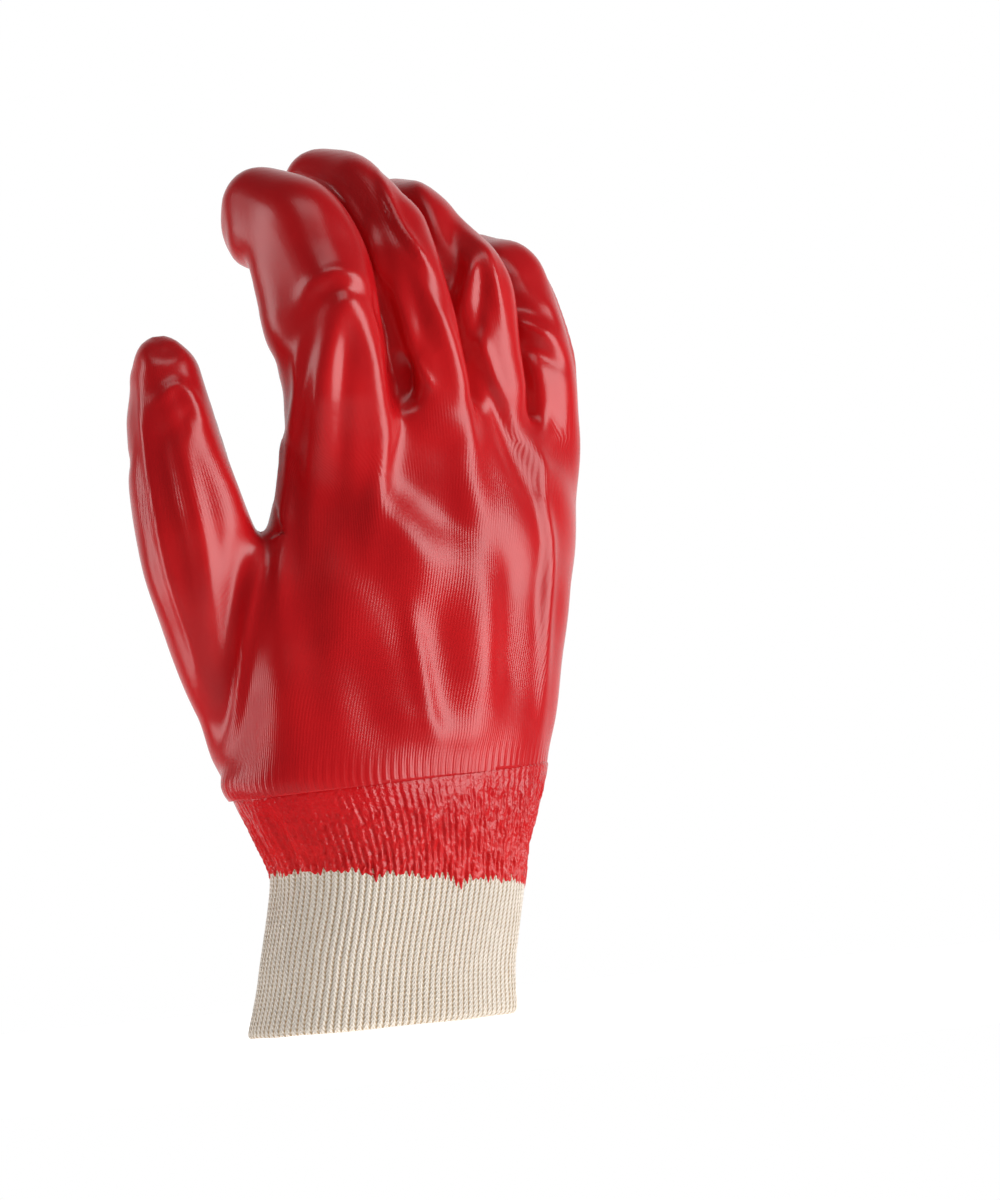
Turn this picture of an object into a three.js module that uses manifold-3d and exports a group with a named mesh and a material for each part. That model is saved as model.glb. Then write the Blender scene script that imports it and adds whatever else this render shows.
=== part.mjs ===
// A supported work glove for the right hand: a knitted cotton liner dipped in glossy PVC,
// with a rib-knit wrist whose upper part is dipped too. Millimetres, +Z up through the hand.
// The origin is the middle of the wrist opening. -Y is the back of the hand, +X the
// little-finger side. The glove stands filled out, as it does on a hand, fingers curled.

import * as THREE from 'three';
import Module from 'manifold-3d';

const wasm = await Module();
wasm.setup();

// Driving dimensions

const cuffHeight = 43;        // bare knit, from the hem to the edge of the dip
const bandHeight = 27;        // dipped ribs above it
const wristWidth = 78;        // narrowest part of the wrist, side to side
const wristDepth = 50;        // the same place, back to palm
const palmWidth = 104;        // across the palm below the fingers
const palmDepth = 46;         // the palm, back to front
const palmHeight = 102;       // from the dipped ribs to the webs of the fingers
const handLean = 41;          // how far the knuckles stand to the little-finger side
const littleDrop = 9;         // how much lower the web beside the little finger lies
const ribPitch = 2.4;         // one rib of the knit to the next
const ribRelief = 0.9;        // a rib's crest above its gutter
const knitWall = 2.2;         // the rib knit, crest to inside
const coatWall = 1.8;         // liner and coat together
const pieceGap = 0.3;         // between one piece and the next
const fingerGap = 1.0;        // between neighbouring fingers where they leave the hand
const webGap = 0.6;           // between a finger and the web beside it
const creaseDepth = 2.2;      // how far the coat folds in at a bent joint, on the palm side
const knuckleRise = 1.2;      // how far it stands out over the same joint, on the back

const indexLength = 98;
const middleLength = 109;
const ringLength = 98;
const littleLength = 80;
const thumbLength = 132;
const indexWidth = 28;
const middleWidth = 24;
const ringWidth = 22.5;
const littleWidth = 23.5;
const thumbWidth = 27;

// Shape tables

// The hollow trunk of the glove from the hem to the webs, a row for each section.
// rise is a share of the named height of its piece, shift of handLean, width and depth of
// the size that the last column names, arch the share of the depth by which the sides
// of the section bend toward the palm.
const trunkSections = [
  { piece: 'cuff', rise: 0.0, shift: 0.0, width: 1.05, depth: 1.05, arch: 0, size: 'wrist' },
  { piece: 'cuff', rise: 0.4, shift: 0.09, width: 1.0, depth: 1.0, arch: 0, size: 'wrist' },
  { piece: 'cuff', rise: 1.0, shift: 0.26, width: 1.0, depth: 1.0, arch: 0, size: 'wrist' },
  { piece: 'band', rise: 0.5, shift: 0.27, width: 1.12, depth: 1.05, arch: 0, size: 'wrist' },
  { piece: 'band', rise: 1.0, shift: 0.26, width: 0.96, depth: 1.17, arch: 0, size: 'palm' },
  { piece: 'hand', rise: 0.14, shift: 0.35, width: 0.99, depth: 1.16, arch: 0.03, size: 'palm' },
  { piece: 'hand', rise: 0.35, shift: 0.52, width: 0.99, depth: 1.12, arch: 0.07, size: 'palm' },
  { piece: 'hand', rise: 0.55, shift: 0.7, width: 0.99, depth: 1.04, arch: 0.12, size: 'palm' },
  { piece: 'hand', rise: 0.75, shift: 0.87, width: 0.98, depth: 0.94, arch: 0.17, size: 'palm' },
  { piece: 'hand', rise: 0.9, shift: 0.995, width: 0.965, depth: 0.8, arch: 0.2, size: 'palm' },
];

// Folds and ridges of the hand, a row for each. It runs from one place to another: rise is
// a share of palmHeight, turn an angle in degrees from the little-finger side round by
// the palm (90), the thumb (180) and the back (270). spread and lift are shares of palmDepth.
const handFolds = [
  { rise: [0.02, 0.95], turn: [216, 201], spread: 0.14, lift: 0.08 },
  { rise: [0.1, 0.6], turn: [240, 236], spread: 0.22, lift: -0.08 },
  { rise: [0.6, 0.95], turn: [262, 246], spread: 0.17, lift: 0.07 },
  { rise: [0.5, 0.95], turn: [300, 284], spread: 0.18, lift: 0.06 },
  { rise: [0.45, 0.8], turn: [320, 312], spread: 0.14, lift: -0.07 },
  { rise: [0.2, 0.75], turn: [140, 62], spread: 0.15, lift: -0.1 },
  { rise: [0.1, 0.5], turn: [95, 110], spread: 0.17, lift: -0.08 },
  { rise: [0.72, 0.8], turn: [120, 50], spread: 0.14, lift: -0.08 },
  { rise: [0.15, 0.6], turn: [40, 30], spread: 0.26, lift: 0.07 },
];

// The digits. Each starts inside the hand: sunk is a share of palmHeight below the webs,
// front a share of palmDepth toward the palm. free is the share of palmHeight at which the
// digit leaves the hand. bones is a row for each stretch: its share of the digit's length,
// the lean toward the little finger and the curl toward the palm in degrees, and the width
// and depth at its end as shares of the digit's width. start is the same where it starts.
// turn is how far the digit is turned about its length, in degrees.
const fingers = [
  {
    name: 'index_finger', length: indexLength, width: indexWidth,
    front: 0.02, sunk: 0.2, free: 0.99, turn: 0, start: [0.7, 0.5],
    bones: [
      { share: 0.24, lean: 2, curl: 0, width: 1.02, depth: 1.1 },
      { share: 0.29, lean: 2, curl: 3, width: 1.0, depth: 1.12 },
      { share: 0.25, lean: 0, curl: 27, width: 0.96, depth: 1.0 },
      { share: 0.31, lean: -2, curl: 66, width: 0.86, depth: 0.86 },
    ],
  },
  {
    name: 'middle_finger', length: middleLength, width: middleWidth,
    front: -0.01, sunk: 0.2, free: 1.03, turn: 0, start: [0.7, 0.5],
    bones: [
      { share: 0.26, lean: 2, curl: 0, width: 1.0, depth: 1.14 },
      { share: 0.29, lean: 2, curl: 10, width: 0.98, depth: 1.16 },
      { share: 0.26, lean: 1, curl: 36, width: 0.97, depth: 1.08 },
      { share: 0.28, lean: -2, curl: 72, width: 0.9, depth: 0.9 },
    ],
  },
  {
    name: 'ring_finger', length: ringLength, width: ringWidth,
    front: 0.06, sunk: 0.2, free: 1.0, turn: 0, start: [0.7, 0.5],
    bones: [
      { share: 0.26, lean: 2, curl: 0, width: 1.0, depth: 1.16 },
      { share: 0.29, lean: 2, curl: 12, width: 1.0, depth: 1.16 },
      { share: 0.27, lean: 1, curl: 38, width: 0.97, depth: 1.08 },
      { share: 0.28, lean: -3, curl: 70, width: 0.9, depth: 0.92 },
    ],
  },
  {
    name: 'little_finger', length: littleLength, width: littleWidth,
    front: 0.2, sunk: 0.22, free: 0.95, turn: 0, start: [0.7, 0.5],
    bones: [
      { share: 0.26, lean: 2, curl: 0, width: 1.0, depth: 1.06 },
      { share: 0.29, lean: 2, curl: 12, width: 0.98, depth: 1.06 },
      { share: 0.25, lean: 1, curl: 36, width: 0.95, depth: 1.0 },
      { share: 0.3, lean: -3, curl: 68, width: 0.88, depth: 0.88 },
    ],
  },
];

// The thumb starts aside of the middle of the trunk at the dipped ribs, by a share of palmWidth.
const thumb = {
  name: 'thumb', length: thumbLength, width: thumbWidth, aside: -0.2,
  front: 0.2, sunk: 0.98, free: 0.76, turn: -28, start: [1.5, 1.1],
  bones: [
    { share: 0.29, lean: -25, curl: 8, width: 1.36, depth: 1.14 },
    { share: 0.3, lean: -12, curl: 6, width: 1.18, depth: 1.08 },
    { share: 0.2, lean: -4, curl: 8, width: 0.95, depth: 0.98 },
    { share: 0.21, lean: 0, curl: 12, width: 0.74, depth: 0.84 },
  ],
};

// Rings and lofts

const trunkSquareness = 2.3;  // 2 is an ellipse
const digitSquareness = 2.2;
const tipRoundness = 0.45;    // length of a tip's dome as a share of the digit's width
const creaseSpread = 0.3;     // half length of a joint's fold as a share of it
const droopStarts = 0.3;      // share of palmHeight where the little-finger side starts to drop
const droopEnds = 0.9;        // and where it has dropped by the whole of littleDrop

// How finely the surfaces are faceted

const wristSteps = 2;
const wristInsideSides = 44;
const handSteps = 9;
const handSides = 40;
const digitSteps = 10;
const digitSides = 18;
const digitInsideSides = 14;
const domeSteps = 4;
const roundOverSteps = [0.35, 0.65, 0.88];  // shares of the quarter turn over the webs

// One point of an oval that is a little squarer than an ellipse.
function ovalPoint(angle, width, depth, squareness) {
  const c = Math.cos(angle);
  const s = Math.sin(angle);
  return [
    (width / 2) * Math.sign(c) * Math.abs(c) ** (2 / squareness),
    (depth / 2) * Math.sign(s) * Math.abs(s) ** (2 / squareness),
  ];
}

// A closed solid through rings of points that turn the same way. The ends are
// closed by fans, to the given end points or to the middles of the end rings.
function loft(rings, lastPoint = null) {
  const around = rings[0].length;
  const middle = (ring) => {
    const sum = ring.reduce((total, point) => total.add(point), new THREE.Vector3());
    return sum.divideScalar(ring.length);
  };
  const points = [...rings.flat(), middle(rings[0]), lastPoint ?? middle(rings.at(-1))];
  const first = points.length - 2;
  const last = points.length - 1;
  const top = (rings.length - 1) * around;
  const faces = [];
  for (let j = 0; j < around; j += 1) {
    const next = (j + 1) % around;
    faces.push(first, next, j, last, top + j, top + next);
    for (let i = 0; i < rings.length - 1; i += 1) {
      const low = i * around;
      const high = low + around;
      faces.push(low + j, low + next, high + next, low + j, high + next, high + j);
    }
  }
  return new wasm.Manifold(new wasm.Mesh({
    numProp: 3,
    vertProperties: new Float32Array(points.flatMap((point) => point.toArray())),
    triVerts: new Uint32Array(faces),
  }));
}

// A block from one height to another, wider than the glove on every side.
function slab(fromHeight, toHeight) {
  const reach = palmWidth + palmHeight + middleLength + thumbLength;
  const corners = [[-1, -1], [1, -1], [1, 1], [-1, 1]];
  const ring = (height) => corners.map(([x, y]) => new THREE.Vector3(x * reach, y * reach, height));
  return loft([ring(fromHeight), ring(toHeight)]);
}

// The trunk

const bandRow = trunkSections.findIndex((row) => row.piece === 'band') - 1;
const bandTopRow = trunkSections.findIndex((row) => row.piece === 'hand') - 1;
const pieces = {
  cuff: { base: 0, height: cuffHeight },
  band: { base: cuffHeight, height: bandHeight },
  hand: { base: cuffHeight + bandHeight, height: palmHeight },
};
const sizes = {
  wrist: { width: wristWidth, depth: wristDepth },
  palm: { width: palmWidth, depth: palmDepth },
};
const handBase = pieces.hand.base;
const webHeight = handBase + palmHeight;

const trunkPlace = new THREE.CatmullRomCurve3(trunkSections.map((row) => new THREE.Vector3(
  row.shift * handLean,
  0,
  pieces[row.piece].base + row.rise * pieces[row.piece].height,
)));
const trunkSize = new THREE.CatmullRomCurve3(trunkSections.map((row) => new THREE.Vector3(
  row.width * sizes[row.size].width,
  row.depth * sizes[row.size].depth,
  row.arch * sizes[row.size].depth,
)));

// How much lower the little-finger side of a section lies than its middle.
function littleDroop(height) {
  const rise = (height - handBase) / palmHeight;
  return littleDrop * THREE.MathUtils.smoothstep(rise, droopStarts, droopEnds);
}

// How far the folds lift or press a place of the hand's surface.
function foldLift(height, turnDegrees) {
  const rise = (height - handBase) / palmHeight;
  const girth = Math.PI * 0.5 * (palmWidth + palmDepth);
  let lift = 0;
  for (const fold of handFolds) {
    const [low, high] = fold.rise;
    const share = THREE.MathUtils.clamp((rise - low) / (high - low), 0, 1);
    const past = (rise - low - share * (high - low)) * palmHeight;
    const turn = THREE.MathUtils.lerp(fold.turn[0], fold.turn[1], share);
    const aside = ((turnDegrees - turn) / 360) * girth;
    const spread = fold.spread * palmDepth;
    lift += fold.lift * palmDepth * Math.exp(-(past * past + aside * aside) / (spread * spread));
  }
  return lift;
}

// One ring of the trunk. inset draws the surface in, relief lowers every second point by
// the relief of the knit, and folded adds the hand's folds.
function trunkRing(place, size, { around, inset = 0, relief = 0, folded = false }) {
  const ring = [];
  for (let j = 0; j < around; j += 1) {
    const angle = (2 * Math.PI * j) / around;
    const lift = folded ? foldLift(place.z, THREE.MathUtils.radToDeg(angle)) : 0;
    const grow = 2 * (lift - inset - (j % 2) * relief);
    const [x, y] = ovalPoint(angle, size.x + grow, size.y + grow, trunkSquareness);
    const aside = x / (size.x / 2);
    const droop = place.z > handBase ? littleDroop(place.z) * Math.max(aside, 0) ** 2 : 0;
    ring.push(new THREE.Vector3(place.x + x, y + size.z * aside * aside, place.z - droop));
  }
  return ring;
}

function trunkRings(fromRow, toRow, steps, options) {
  const spans = trunkSections.length - 1;
  const rings = [];
  for (let i = 0; i <= steps; i += 1) {
    const t = (fromRow + ((toRow - fromRow) * i) / steps) / spans;
    rings.push(trunkRing(trunkPlace.getPoint(t), trunkSize.getPoint(t), options));
  }
  return rings;
}

// The same rings, with the ends carried straight on so that a hollow cuts right through.
function runOut(rings, below, above) {
  const moved = (ring, by) => ring.map((point) => new THREE.Vector3(point.x, point.y, point.z + by));
  const out = [...rings];
  if (below) out.unshift(moved(rings[0], -below));
  if (above) out.push(moved(rings.at(-1), above));
  return out;
}

// Where the digits start from side to side. The fingers stand in a row, side by side, over
// the middle of the trunk at the webs.
const fingerRow = fingers.reduce((sum, finger) => sum + finger.width, fingerGap * (fingers.length - 1));
let rowReached = trunkPlace.getPoint(1).x - fingerRow / 2;
const digits = fingers.map((finger) => {
  const startX = rowReached + finger.width / 2;
  rowReached += finger.width + fingerGap;
  return { ...finger, startX };
});
digits.push({ ...thumb, startX: trunkSections[bandTopRow].shift * handLean + thumb.aside * palmWidth });

// A digit: its spine follows the bones, and its sections stand square to the spine.
function digitSpine(digit) {
  const joints = [new THREE.Vector3(
    digit.startX,
    digit.front * palmDepth,
    webHeight - digit.sunk * palmHeight,
  )];
  for (const bone of digit.bones) {
    const lean = THREE.MathUtils.degToRad(bone.lean);
    const curl = THREE.MathUtils.degToRad(bone.curl);
    const way = new THREE.Vector3(
      Math.sin(lean) * Math.cos(curl),
      Math.sin(curl),
      Math.cos(lean) * Math.cos(curl),
    );
    joints.push(joints.at(-1).clone().addScaledVector(way, bone.share * digit.length));
  }
  const widths = [digit.start, ...digit.bones.map((bone) => [bone.width, bone.depth])];
  return {
    joints,
    spine: new THREE.CatmullRomCurve3(joints),
    size: new THREE.CatmullRomCurve3(widths.map(([width, depth]) => (
      new THREE.Vector3(width * digit.width, depth * digit.width, 0)
    ))),
  };
}

// How far the surface folds in or stands out at the bent joints, turned by the angle round
// the digit: in on the palm side, out over the back.
function bendLift(nearness, angle) {
  const facing = Math.sin(angle);
  const most = facing > 0 ? creaseDepth : knuckleRise;
  return -most * Math.exp(-nearness * nearness) * facing ** 3;
}

// The digit as a closed solid with a domed tip. inset draws the surface in.
function digitSolid(digit, inset, around = digitSides) {
  const { joints, spine, size } = digitSpine(digit);
  const domeLength = tipRoundness * digit.width;
  const neck = 1 - domeLength / spine.getLength();
  const turn = THREE.MathUtils.degToRad(digit.turn);
  const across = new THREE.Vector3(Math.cos(turn), Math.sin(turn), 0);
  const bent = joints.slice(2, -1);
  const ringAt = (u, forward, scale) => {
    const tangent = spine.getTangentAt(u);
    const place = spine.getPointAt(u);
    const side = across.clone().addScaledVector(tangent, -across.dot(tangent)).normalize();
    const front = tangent.clone().cross(side);
    const section = size.getPoint(spine.getUtoTmapping(u));
    const nearest = Math.min(...bent.map((joint) => joint.distanceTo(place)));
    const nearness = nearest / (creaseSpread * digit.width);
    place.addScaledVector(tangent, forward);
    const ring = [];
    for (let j = 0; j < around; j += 1) {
      const angle = (2 * Math.PI * j) / around;
      const grow = 2 * (bendLift(nearness, angle) - inset);
      const [x, y] = ovalPoint(angle, section.x + grow, section.y + grow, digitSquareness);
      ring.push(place.clone().addScaledVector(side, x * scale).addScaledVector(front, y * scale));
    }
    return ring;
  };
  const rings = [];
  for (let i = 0; i <= digitSteps; i += 1) rings.push(ringAt((neck * i) / digitSteps, 0, 1));
  for (let k = 1; k < domeSteps; k += 1) {
    const quarter = (Math.PI / 2) * (k / domeSteps);
    rings.push(ringAt(neck, (domeLength - inset) * Math.sin(quarter), Math.cos(quarter)));
  }
  const tangent = spine.getTangentAt(neck);
  return loft(rings, spine.getPointAt(neck).addScaledVector(tangent, domeLength - inset));
}

// The pieces

// A length of the ribbed wrist between two rows of the trunk's table.
function wristTube(fromRow, toRow, gapBelow) {
  const girth = Math.PI * 0.5 * (wristWidth + wristDepth);
  const around = 2 * Math.round(girth / ribPitch);
  const outside = trunkRings(fromRow, toRow, wristSteps, { around, relief: ribRelief });
  outside[0].forEach((point) => point.setZ(point.z + gapBelow));
  const inside = trunkRings(fromRow, toRow, wristSteps, { around: wristInsideSides, inset: knitWall });
  return loft(outside).subtract(loft(runOut(inside, knitWall, knitWall)));
}

// The hand without its digits, from the band to a rounded edge over the webs.
function palmSolid(inset) {
  const options = { around: handSides, inset, folded: true };
  const rings = trunkRings(bandTopRow, trunkSections.length - 1, handSteps, options);
  const place = trunkPlace.getPoint(1);
  const size = trunkSize.getPoint(1);
  const roundOver = webHeight - place.z;
  for (const share of roundOverSteps) {
    const angle = (Math.PI / 2) * share;
    const higher = place.clone().setZ(place.z + (roundOver - inset) * Math.sin(angle));
    const narrower = size.clone();
    narrower.x -= 2 * roundOver * (1 - Math.cos(angle));
    narrower.y *= Math.cos(angle);
    rings.push(trunkRing(higher, narrower, options));
  }
  return loft(runOut(rings, coatWall, 0));
}

const cuff = wristTube(0, bandRow, 0);
const band = wristTube(bandRow, bandTopRow, pieceGap);

const tubes = digits.map((digit) => ({
  name: digit.name,
  outside: digitSolid(digit, 0),
  inside: digitSolid(digit, coatWall, digitInsideSides),
  around: digitSolid(digit, -webGap),
  freeHeight: handBase + digit.free * palmHeight,
}));
const longest = Math.max(...digits.map((digit) => digit.length));
const above = webHeight + longest;
const hollow = tubes.reduce((sum, tube) => sum.add(tube.inside), palmSolid(coatWall));
const full = tubes.reduce((sum, tube) => sum.add(tube.outside), palmSolid(0));
const hand = tubes.reduce(
  (rest, tube) => rest.subtract(tube.around.intersect(slab(tube.freeHeight, above))),
  full.intersect(slab(handBase + pieceGap, above)).subtract(hollow),
);

// The model

const group = new THREE.Group();

function addPiece(name, solid, material) {
  const { vertProperties, triVerts } = solid.getMesh();
  const geometry = new THREE.BufferGeometry();
  geometry.setAttribute('position', new THREE.BufferAttribute(vertProperties, 3));
  geometry.setIndex(new THREE.BufferAttribute(triVerts, 1));
  geometry.computeVertexNormals();
  const mesh = new THREE.Mesh(geometry, material);
  mesh.name = name;
  group.add(mesh);
}

const coatMaterial = new THREE.MeshStandardMaterial({ color: 0xc4182a, roughness: 0.28, metalness: 0 });
const knitMaterial = new THREE.MeshStandardMaterial({ color: 0xe3d7bd, roughness: 0.95, metalness: 0 });

addPiece('knit_wrist_cuff', cuff, knitMaterial);
addPiece('dipped_rib_band', band, coatMaterial);
addPiece('hand_shell', hand, coatMaterial);
for (const tube of tubes) {
  const free = tube.outside.intersect(slab(tube.freeHeight + pieceGap, above)).subtract(hollow);
  addPiece(tube.name, free, coatMaterial);
}

export default group;
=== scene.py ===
# %% [markdown]
# # A dipped work glove
#
# The object is a right-hand work glove. A cotton liner, knitted in the round, was pulled
# over a ceramic hand and dipped in liquid PVC, so the hand and the upper part of the wrist
# have a glossy red coat that follows every stitch and fold below it. The last 43 mm of the
# wrist stay bare: a cream rib knit.
#
# The script dresses a fixed frame of CAD solids. All sizes below are in millimetres, in the
# frame's own axes: +Z runs from the wrist opening through the hand, -Y is the back of the
# hand and +X the little-finger side. Only the last step turns them into metres.

# %% Load the frame
import bmesh
import bpy
import numpy as np
from mathutils import Matrix


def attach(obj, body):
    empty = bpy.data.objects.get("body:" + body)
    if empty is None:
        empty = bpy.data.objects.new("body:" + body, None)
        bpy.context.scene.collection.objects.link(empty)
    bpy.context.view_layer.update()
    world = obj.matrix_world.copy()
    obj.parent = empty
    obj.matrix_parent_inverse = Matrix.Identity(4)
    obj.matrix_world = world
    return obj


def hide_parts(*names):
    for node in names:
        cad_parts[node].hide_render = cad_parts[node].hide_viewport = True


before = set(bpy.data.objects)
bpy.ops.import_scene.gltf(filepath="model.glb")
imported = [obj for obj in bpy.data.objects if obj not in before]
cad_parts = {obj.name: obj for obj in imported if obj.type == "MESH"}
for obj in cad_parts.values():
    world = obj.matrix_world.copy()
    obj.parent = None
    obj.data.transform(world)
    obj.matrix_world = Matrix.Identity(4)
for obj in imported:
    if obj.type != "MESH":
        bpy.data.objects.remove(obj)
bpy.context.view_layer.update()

MM = 0.001
print("frame nodes:", ", ".join(sorted(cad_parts)))

# %% [markdown]
# ## The camera comes first
#
# The folds of a glove have no names or drawings, so the photograph is the only plan of them.
# Most are placed here by where they show in it. That needs the camera before the shapes: it
# looks at the back of the hand from the thumb side, level with the wrist, with a long lens,
# and it was tilted a little, so the glove leans to the left in the picture.

# %% The camera
VIEW_AZIMUTH = np.radians(-35.0)
VIEW_ELEVATION = np.radians(-2.0)
VIEW_ROLL = np.radians(5.4)
VIEW_DISTANCE = 2200.0
VIEW_HEIGHT = 336.0           # what the picture shows from top to bottom, at the glove
AIM_RIGHT, AIM_UP = 44.2, 116.2

sin_a, cos_a = np.sin(VIEW_AZIMUTH), np.cos(VIEW_AZIMUTH)
view_back = np.array([
    sin_a * np.cos(VIEW_ELEVATION), -cos_a * np.cos(VIEW_ELEVATION), np.sin(VIEW_ELEVATION)])
view_right = np.array([cos_a, sin_a, 0.0])
view_up = np.cross(view_back, view_right)
view_aim = AIM_RIGHT * view_right + AIM_UP * view_up


def picture_place(points):
    """Where points show in the picture, in mm across and up on a plane through the aim.

    Each point's distances to the right of the aim and above it are made larger by the
    share that the point is nearer to the camera than the aim is."""
    from_aim = points - view_aim
    nearer = VIEW_DISTANCE / (VIEW_DISTANCE - from_aim @ view_back)
    across = AIM_RIGHT + (from_aim @ view_right) * nearer
    up = AIM_UP + (from_aim @ view_up) * nearer
    return np.stack([across, up], axis=-1)


SENSOR = 36.0
camera_data = bpy.data.cameras.new("photo_camera")
camera_data.sensor_fit = "VERTICAL"
camera_data.sensor_height = SENSOR
camera_data.lens = SENSOR * VIEW_DISTANCE / VIEW_HEIGHT
camera = bpy.data.objects.new("photo_camera", camera_data)
bpy.context.scene.collection.objects.link(camera)
image_right = view_right * np.cos(VIEW_ROLL) - view_up * np.sin(VIEW_ROLL)
image_up = view_right * np.sin(VIEW_ROLL) + view_up * np.cos(VIEW_ROLL)
camera_place = (view_aim + VIEW_DISTANCE * view_back) * MM
camera_axes = np.stack([image_right, image_up, view_back], axis=1)
camera_matrix = np.eye(4)
camera_matrix[:3, :3] = camera_axes
camera_matrix[:3, 3] = camera_place
camera.matrix_world = Matrix(camera_matrix)
bpy.context.scene.camera = camera
print("camera at", np.round(camera_place, 3), "lens", round(camera_data.lens, 1))

# %% [markdown]
# ## Helpers for curves and meshes
#
# A glove is all tubes. Each is a stack of rings along a curve, and every ring is an oval
# that is a little squarer than an ellipse. Whole arrays of points are worked out at once
# with numpy, which is short to write and takes milliseconds for a hundred thousand points.

# %% Curves through a table's rows
def curve_through(rows, t):
    """A smooth curve through the rows, at each t from 0 to 1.

    Between two rows it is a cubic. Its slope at a row comes from the rows before and
    after, weighed by the square root of their distances, which keeps it from looping."""
    rows = np.asarray(rows, dtype=float)
    ends = np.concatenate([[2 * rows[0] - rows[1]], rows, [2 * rows[-1] - rows[-2]]])
    place = np.asarray(t, dtype=float) * (len(rows) - 1)
    span = np.clip(np.floor(place).astype(int), 0, len(rows) - 2)
    w = (place - span)[..., None]
    p0, p1, p2, p3 = (ends[span + k] for k in range(4))

    def knot(a, b):
        return np.maximum(np.sum((b - a) ** 2, axis=-1) ** 0.25, 1e-4)[..., None]

    d0, d1, d2 = knot(p0, p1), knot(p1, p2), knot(p2, p3)
    slope_1 = ((p1 - p0) / d0 - (p2 - p0) / (d0 + d1) + (p2 - p1) / d1) * d1
    slope_2 = ((p2 - p1) / d1 - (p3 - p1) / (d1 + d2) + (p3 - p2) / d2) * d1
    cubic = 2 * p1 - 2 * p2 + slope_1 + slope_2
    square = -3 * p1 + 3 * p2 - 2 * slope_1 - slope_2
    return p1 + slope_1 * w + square * w ** 2 + cubic * w ** 3


def even_steps(rows, shares, samples=400):
    """The t of the curve at each share of its length."""
    t = np.linspace(0, 1, samples)
    points = curve_through(rows, t)
    length = np.concatenate([[0], np.cumsum(np.linalg.norm(np.diff(points, axis=0), axis=1))])
    return np.interp(np.asarray(shares) * length[-1], length, t), length[-1]


def smooth_step(value, start, end):
    """0 below the start, 1 above the end, and an even S between them."""
    share = np.clip((value - start) / (end - start), 0, 1)
    return share * share * (3 - 2 * share)


def within_half(angle, whole=2 * np.pi):
    """The angle brought to within half a turn either side of 0."""
    return (angle + whole / 2) % whole - whole / 2


def oval(angle, width, depth, squareness):
    """Points of an oval: cosine and sine of the angle, each raised to 2 over the squareness."""
    c, s = np.cos(angle), np.sin(angle)
    x = 0.5 * width * np.sign(c) * np.abs(c) ** (2 / squareness)
    y = 0.5 * depth * np.sign(s) * np.abs(s) ** (2 / squareness)
    return x, y


print("a curve through 0, 1 and 4 is at", curve_through([[0.0], [1.0], [4.0]], [0.25]), "a quarter on")

# %% Grids of points into meshes
def ring_faces(rows, around, start=0):
    """Four-sided faces between rings that close on themselves, outside to the right hand."""
    i, j = np.meshgrid(np.arange(rows - 1), np.arange(around), indexing="ij")
    k = (j + 1) % around
    faces = np.stack([i * around + j, i * around + k, (i + 1) * around + k, (i + 1) * around + j], axis=-1)
    return faces.reshape(-1, 4) + start


def new_piece(name, points, quads, triangles=()):
    """A mesh object at the origin from points in millimetres and arrays of faces."""
    mesh = bpy.data.meshes.new(name)
    faces = np.asarray(quads).tolist() + np.asarray(triangles).tolist()
    mesh.from_pydata((points.reshape(-1, 3) * MM).tolist(), [], faces)
    mesh.validate()
    mesh.shade_smooth()
    piece = bpy.data.objects.new(name, mesh)
    bpy.context.scene.collection.objects.link(piece)
    return piece


def closed_loft(name, rings):
    """A closed tube through the rings, its ends fanned to their middles."""
    count, around = rings.shape[:2]
    points = np.concatenate([rings.reshape(-1, 3), rings[:1].mean(axis=1), rings[-1:].mean(axis=1)])
    first, last = count * around, count * around + 1
    j = np.arange(around)
    k = (j + 1) % around
    low = np.stack([np.full(around, first), k, j], axis=-1)
    top = (count - 1) * around
    high = np.stack([np.full(around, last), top + j, top + k], axis=-1)
    return new_piece(name, points, ring_faces(count, around), np.concatenate([low, high]))


def read_points(mesh):
    """The mesh's points in millimetres, and its normals."""
    points = np.empty(len(mesh.vertices) * 3)
    mesh.vertices.foreach_get("co", points)
    normals = np.empty(len(mesh.vertices) * 3)
    mesh.vertex_normals.foreach_get("vector", normals)
    return points.reshape(-1, 3) / MM, normals.reshape(-1, 3)


def bake_modifiers(piece):
    """Puts what the piece's modifiers make into its own mesh, and takes them off."""
    evaluated = piece.evaluated_get(bpy.context.evaluated_depsgraph_get())
    mesh = bpy.data.meshes.new_from_object(evaluated)
    piece.modifiers.clear()
    old = piece.data
    piece.data = mesh
    mesh.name = piece.name
    bpy.data.meshes.remove(old)
    mesh.shade_smooth()


print("three rings of four points make", len(ring_faces(3, 4)), "faces")

# %% [markdown]
# ## The hollow trunk of the glove
#
# From the hem to the webs of the fingers the glove is one bent tube: narrow at the wrist,
# wide and flat at the palm, leaning to the little-finger side, its sides bent toward the
# palm as a hand's are. One table gives a section at each height. It follows the one that the
# solids were lofted through, with the hand somewhat flatter near the webs, so what is drawn
# on it sits close to them.

# %% The driving sizes and the sections
cuff_height, band_height, palm_height = 43.0, 27.0, 102.0
wrist_width, wrist_depth = 78.0, 50.0
palm_width, palm_depth = 104.0, 46.0
hand_lean, little_drop = 41.0, 9.0
finger_gap = 1.0
hand_base = cuff_height + band_height
web_height = hand_base + palm_height
TRUNK_SQUARENESS, DIGIT_SQUARENESS = 2.3, 2.2

base = {"cuff": (0.0, cuff_height), "band": (cuff_height, band_height), "hand": (hand_base, palm_height)}
size = {"wrist": (wrist_width, wrist_depth), "palm": (palm_width, palm_depth)}

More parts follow.
